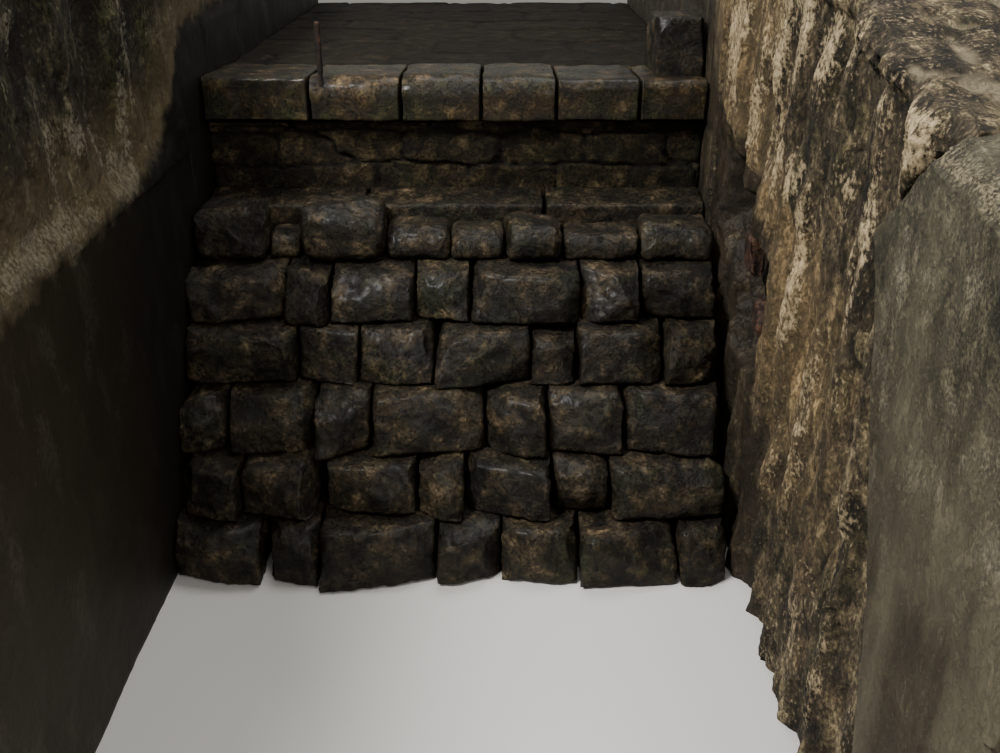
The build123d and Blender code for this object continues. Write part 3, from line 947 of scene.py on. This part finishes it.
# Painted highlights on the tops of the flutes, with pale sandy specks, more of them higher up
ridges = smooth(channel_relief, -0.075, -0.03)
ridges *= smooth(noise(leaning, (0.3, 0.11, 0.4), 3, 276), -0.45, 0.5)
high_up = 0.4 + 0.6 * smooth(z, 0.6, 1.7)
# The tan band beside the strip: partly ochre stain, partly painted sunlight
tan_and_sunlit_band = smooth(past_strip, -0.1, 0.1) * (1 - smooth(past_strip, 0.5, 1.1)) * smooth(z, 0.1, 1.0)
marks = {
    # In the hollow the joint colour is also painted shade, at half strength
    "joint": np.where(coated, np.maximum(0.9 * np.maximum(splits * below_top, crevice), 0.5 * scour), 0),
    "mortar": sunk,
    "stone": own,
    "ochre": np.where(coated, tan_and_sunlit_band, 0),
    "ridge": np.where(coated, ridges * smooth(past_strip, 0, 0.35) * high_up, 0.2 * (1 - sunk)),
    # Painted shade with damp: the strip beside the weir and the whole hollow
    "strip": np.where(coated, np.maximum(1 - smooth(past_strip, -0.1, 0.08), scour), 0),
}
skin("fluted_right_wall", [(worn, marks)], scoured_coat, "right_wall_stone", "right_wall_fluted")

low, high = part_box("right_wall_upstream")
rings, face = wall_rings(np.linspace(0, high.z, 88), low.y, high.y, 1, 0.024, 0.025, 13)
worn, coated, sunk, own = worn_wall(rings, face, 1, dressed_face(rings), high.z, [(high.y, 1)], 260)
past_strip = on_line(strip_edge, rings[..., 2]) - rings[..., 1]
marks = {
    "joint": 0,
    "mortar": sunk,
    "stone": own,
    # Partly ochre stain and partly painted sunlight, near this length's downstream end
    "ochre": np.where(coated, smooth(past_strip, -0.1, 0.1), 0),
    "ridge": np.where(coated, 0, 0.2 * (1 - sunk)),
    # Damp and painted shade where the strip reaches this length
    "strip": np.where(coated, 0.75 * (1 - smooth(past_strip, -0.1, 0.08)), 0),
}
skin("upstream_right_wall", [(worn, marks)], scoured_coat, "right_wall_stone", "right_wall_upstream")

# Rubble in the hollow. Two stones of the wall's filling, bared where the coat is gone and worn round,
# which stand out of the hollow's back.

hollow_stone = 0.15
second_stone_scale = 0.86
hollow_stone_arris = 0.03

# Ferruginous sandstone rubble: pinkish brown, damp and a little dull
stained_rubble, *_ = stone_finish(
    "iron_stained_rubble", ["#1a110a", "#302015", "#473124", "#644a39"], 60, 11, 1.0,
    "#120c07", (0.55, 0.85), 12, "#2a2014", 0.3,
)
low, high = np.array(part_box("hollow_stones"))
stone_size = np.array([high[0] - low[0], hollow_stone, hollow_stone])
second_size = second_stone_scale * stone_size
second_low = np.append(high[0] - second_size[0], low[1:])
stones = []
for seed, (corner, size) in enumerate(((high - stone_size, stone_size), (second_low, second_size))):
    grid = stone_grid(corner, corner + size, 0.007, 8)
    stone = hewn(rounded(grid, corner, corner + size, hollow_stone_arris), 7, 0.03, 290 + seed)
    lumps = noise(stone, 0.07, 5, 292 + seed)
    marks = {"joint": darker_in_hollows(lumps, 0.5, 0, 0.8), "stone": 0.6}
    stones.append((raised(stone, 0.006 * lumps - 0.004), marks))
skin("rubble_in_hollow", stones, stained_rubble, "right_wall_stone", "hollow_stones")

# Wing slab. A smooth, fine-grained slab that laps the fluted length and runs on downstream. Its top
# arris is pale where the weather reaches it, and a dark crevice follows the joint.

wing_low, wing_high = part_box("right_wing_slab")
wing_end_height = 1.8
wing_arris = 0.03
pale_rim = 0.032
wing_crevice_width = 0.022

# Fine sandstone, rubbed flat: grey-brown grit with soft paler clouds, stained brown at its foot
rubbed_sandstone, tree, _, colour, place, grains = stone_finish(
    "rubbed_fine_sandstone", ["#1f1b12", "#343022", "#4b4535", "#676050"], 120, 7, 1.6,
    "#110e08", (0.75, 0.92), 8, "#2f2b1e", 0.25,
)
foot_stain = ragged(tree, place, "height", 1.65, 0.95, 200, 0.6)
colour = washed(tree, colour, "#2b2212", foot_stain, 0.75)
weathered = ragged(tree, place, "weather", 0.2, 1.2, 90, 0.5)
colour = washed(tree, colour, "#777059", weathered, 0.42)
pale_arris = specked(tree, ragged(tree, place, "rim", 0.1, 1.2, 40, 0.6), grains)
colour = washed(tree, colour, "#93866a", pale_arris, 0.75)
mortared(tree, place, colour, "#786e57", 0.7)

levels = np.concatenate([
    np.linspace(0, wing_end_height, 140), np.linspace(wing_end_height + 0.003, wing_high.z - 0.002, 30)
])
down_end = np.interp(levels, [wing_end_height, wing_high.z], [wing_low.y, peak_end])
rings, face = wall_rings(levels, down_end, on_line(wing_joint, levels), 1, 0.01, 0.03, 11)
y, z = rings[..., 1], rings[..., 2]
slab_top = np.interp(y, [wing_low.y, peak_end, nose_end], [wing_end_height, wing_high.z, nose_height])
wing_crevice = 1 - smooth(on_line(wing_joint, z) - y, 0, wing_crevice_width)
channel_relief = -(
    0.0035 * (1 + noise(rings, 0.3, 4, 310)) + 0.0015 * (1 + noise(rings, 0.03, 3, 311))
    + arris(slab_top - z, wing_arris) + crevice_depth * wing_crevice
)
worn, rubbed, sunk, own = worn_wall(rings, face, 1, channel_relief, slab_top, [(wing_low.y, -1)], 300)
on_top = slab_top - z < top_margin
marks = {
    "joint": np.where(rubbed, 0.9 * wing_crevice, 0),
    "mortar": np.where(on_top, 0, sunk),
    "stone": own,
    "height": z,
    "weather": 0.5 + 0.6 * noise(rings, (0.2, 0.12, 0.4), 4, 313),
    "rim": np.where(rubbed, 1 - smooth(slab_top - z, 0, pale_rim), 0.25 * on_top),
}
skin("smooth_wing_slab", [(worn, marks)], rubbed_sandstone, "wing_slab_stone", "right_wing_slab")

# Studio. A plain pale floor, 40 m square, under a soft key light from the left, a fill and a light
# from above. The camera stands a little right of the channel's middle and looks down into it.

camera_tip = 26
picture_width = 1000
focal_length = 1042

floor_mesh = bpy.data.meshes.new("studio_floor")
floor_mesh.from_pydata([(-20, -20, 0), (20, -20, 0), (20, 20, 0), (-20, 20, 0)], [], [(0, 1, 2, 3)])
floor = bpy.data.objects.new("studio_floor", floor_mesh)
bpy.context.scene.collection.objects.link(floor)
floor_paint = bpy.data.materials.new("matt_floor_paint")
floor_paint.use_nodes = True
shader = floor_paint.node_tree.nodes["Principled BSDF"]
shader.inputs["Base Color"].default_value = linear("#c9c6c0")
shader.inputs["Roughness"].default_value = 0.9
floor_mesh.materials.append(floor_paint)

world = bpy.data.worlds.new("soft_studio")
world.use_nodes = True
world.node_tree.nodes["Background"].inputs["Color"].default_value = linear("#e9e8e4")
world.node_tree.nodes["Background"].inputs["Strength"].default_value = 0.5
bpy.context.scene.world = world


def studio_light(name, place, aim, width, power):
    """A square soft light of the given width in metres, which shines from a place towards a point."""
    lamp = bpy.data.lights.new(name, "AREA")
    lamp.shape = "SQUARE"
    lamp.size = width
    lamp.energy = power
    light = bpy.data.objects.new(name, lamp)
    light.location = place
    direction = np.array(aim) - np.array(place)
    light.rotation_euler = (
        np.arccos(-direction[2] / np.linalg.norm(direction)), 0,
        np.arctan2(direction[1], direction[0]) - np.pi / 2,
    )
    bpy.context.scene.collection.objects.link(light)


studio_light("key_light", (-2.8, -3.0, 6.0), (0.6, -0.6, 1.0), 1.5, 640)
studio_light("fill_light", (3.0, -6.0, 4.0), (-0.2, -0.3, 0.9), 3.0, 170)
studio_light("top_light", (0.4, 1.0, 6.5), (0.0, 0.2, 1.2), 2.5, 160)

camera = bpy.data.objects.new("camera", bpy.data.cameras.new("camera"))
camera.location = (0.18, -4.18, 2.33)
camera.rotation_euler = (np.radians(90 - camera_tip), 0, 0)
camera.data.sensor_width = 36
camera.data.lens = focal_length / picture_width * camera.data.sensor_width
bpy.context.scene.collection.objects.link(camera)
bpy.context.scene.camera = camera
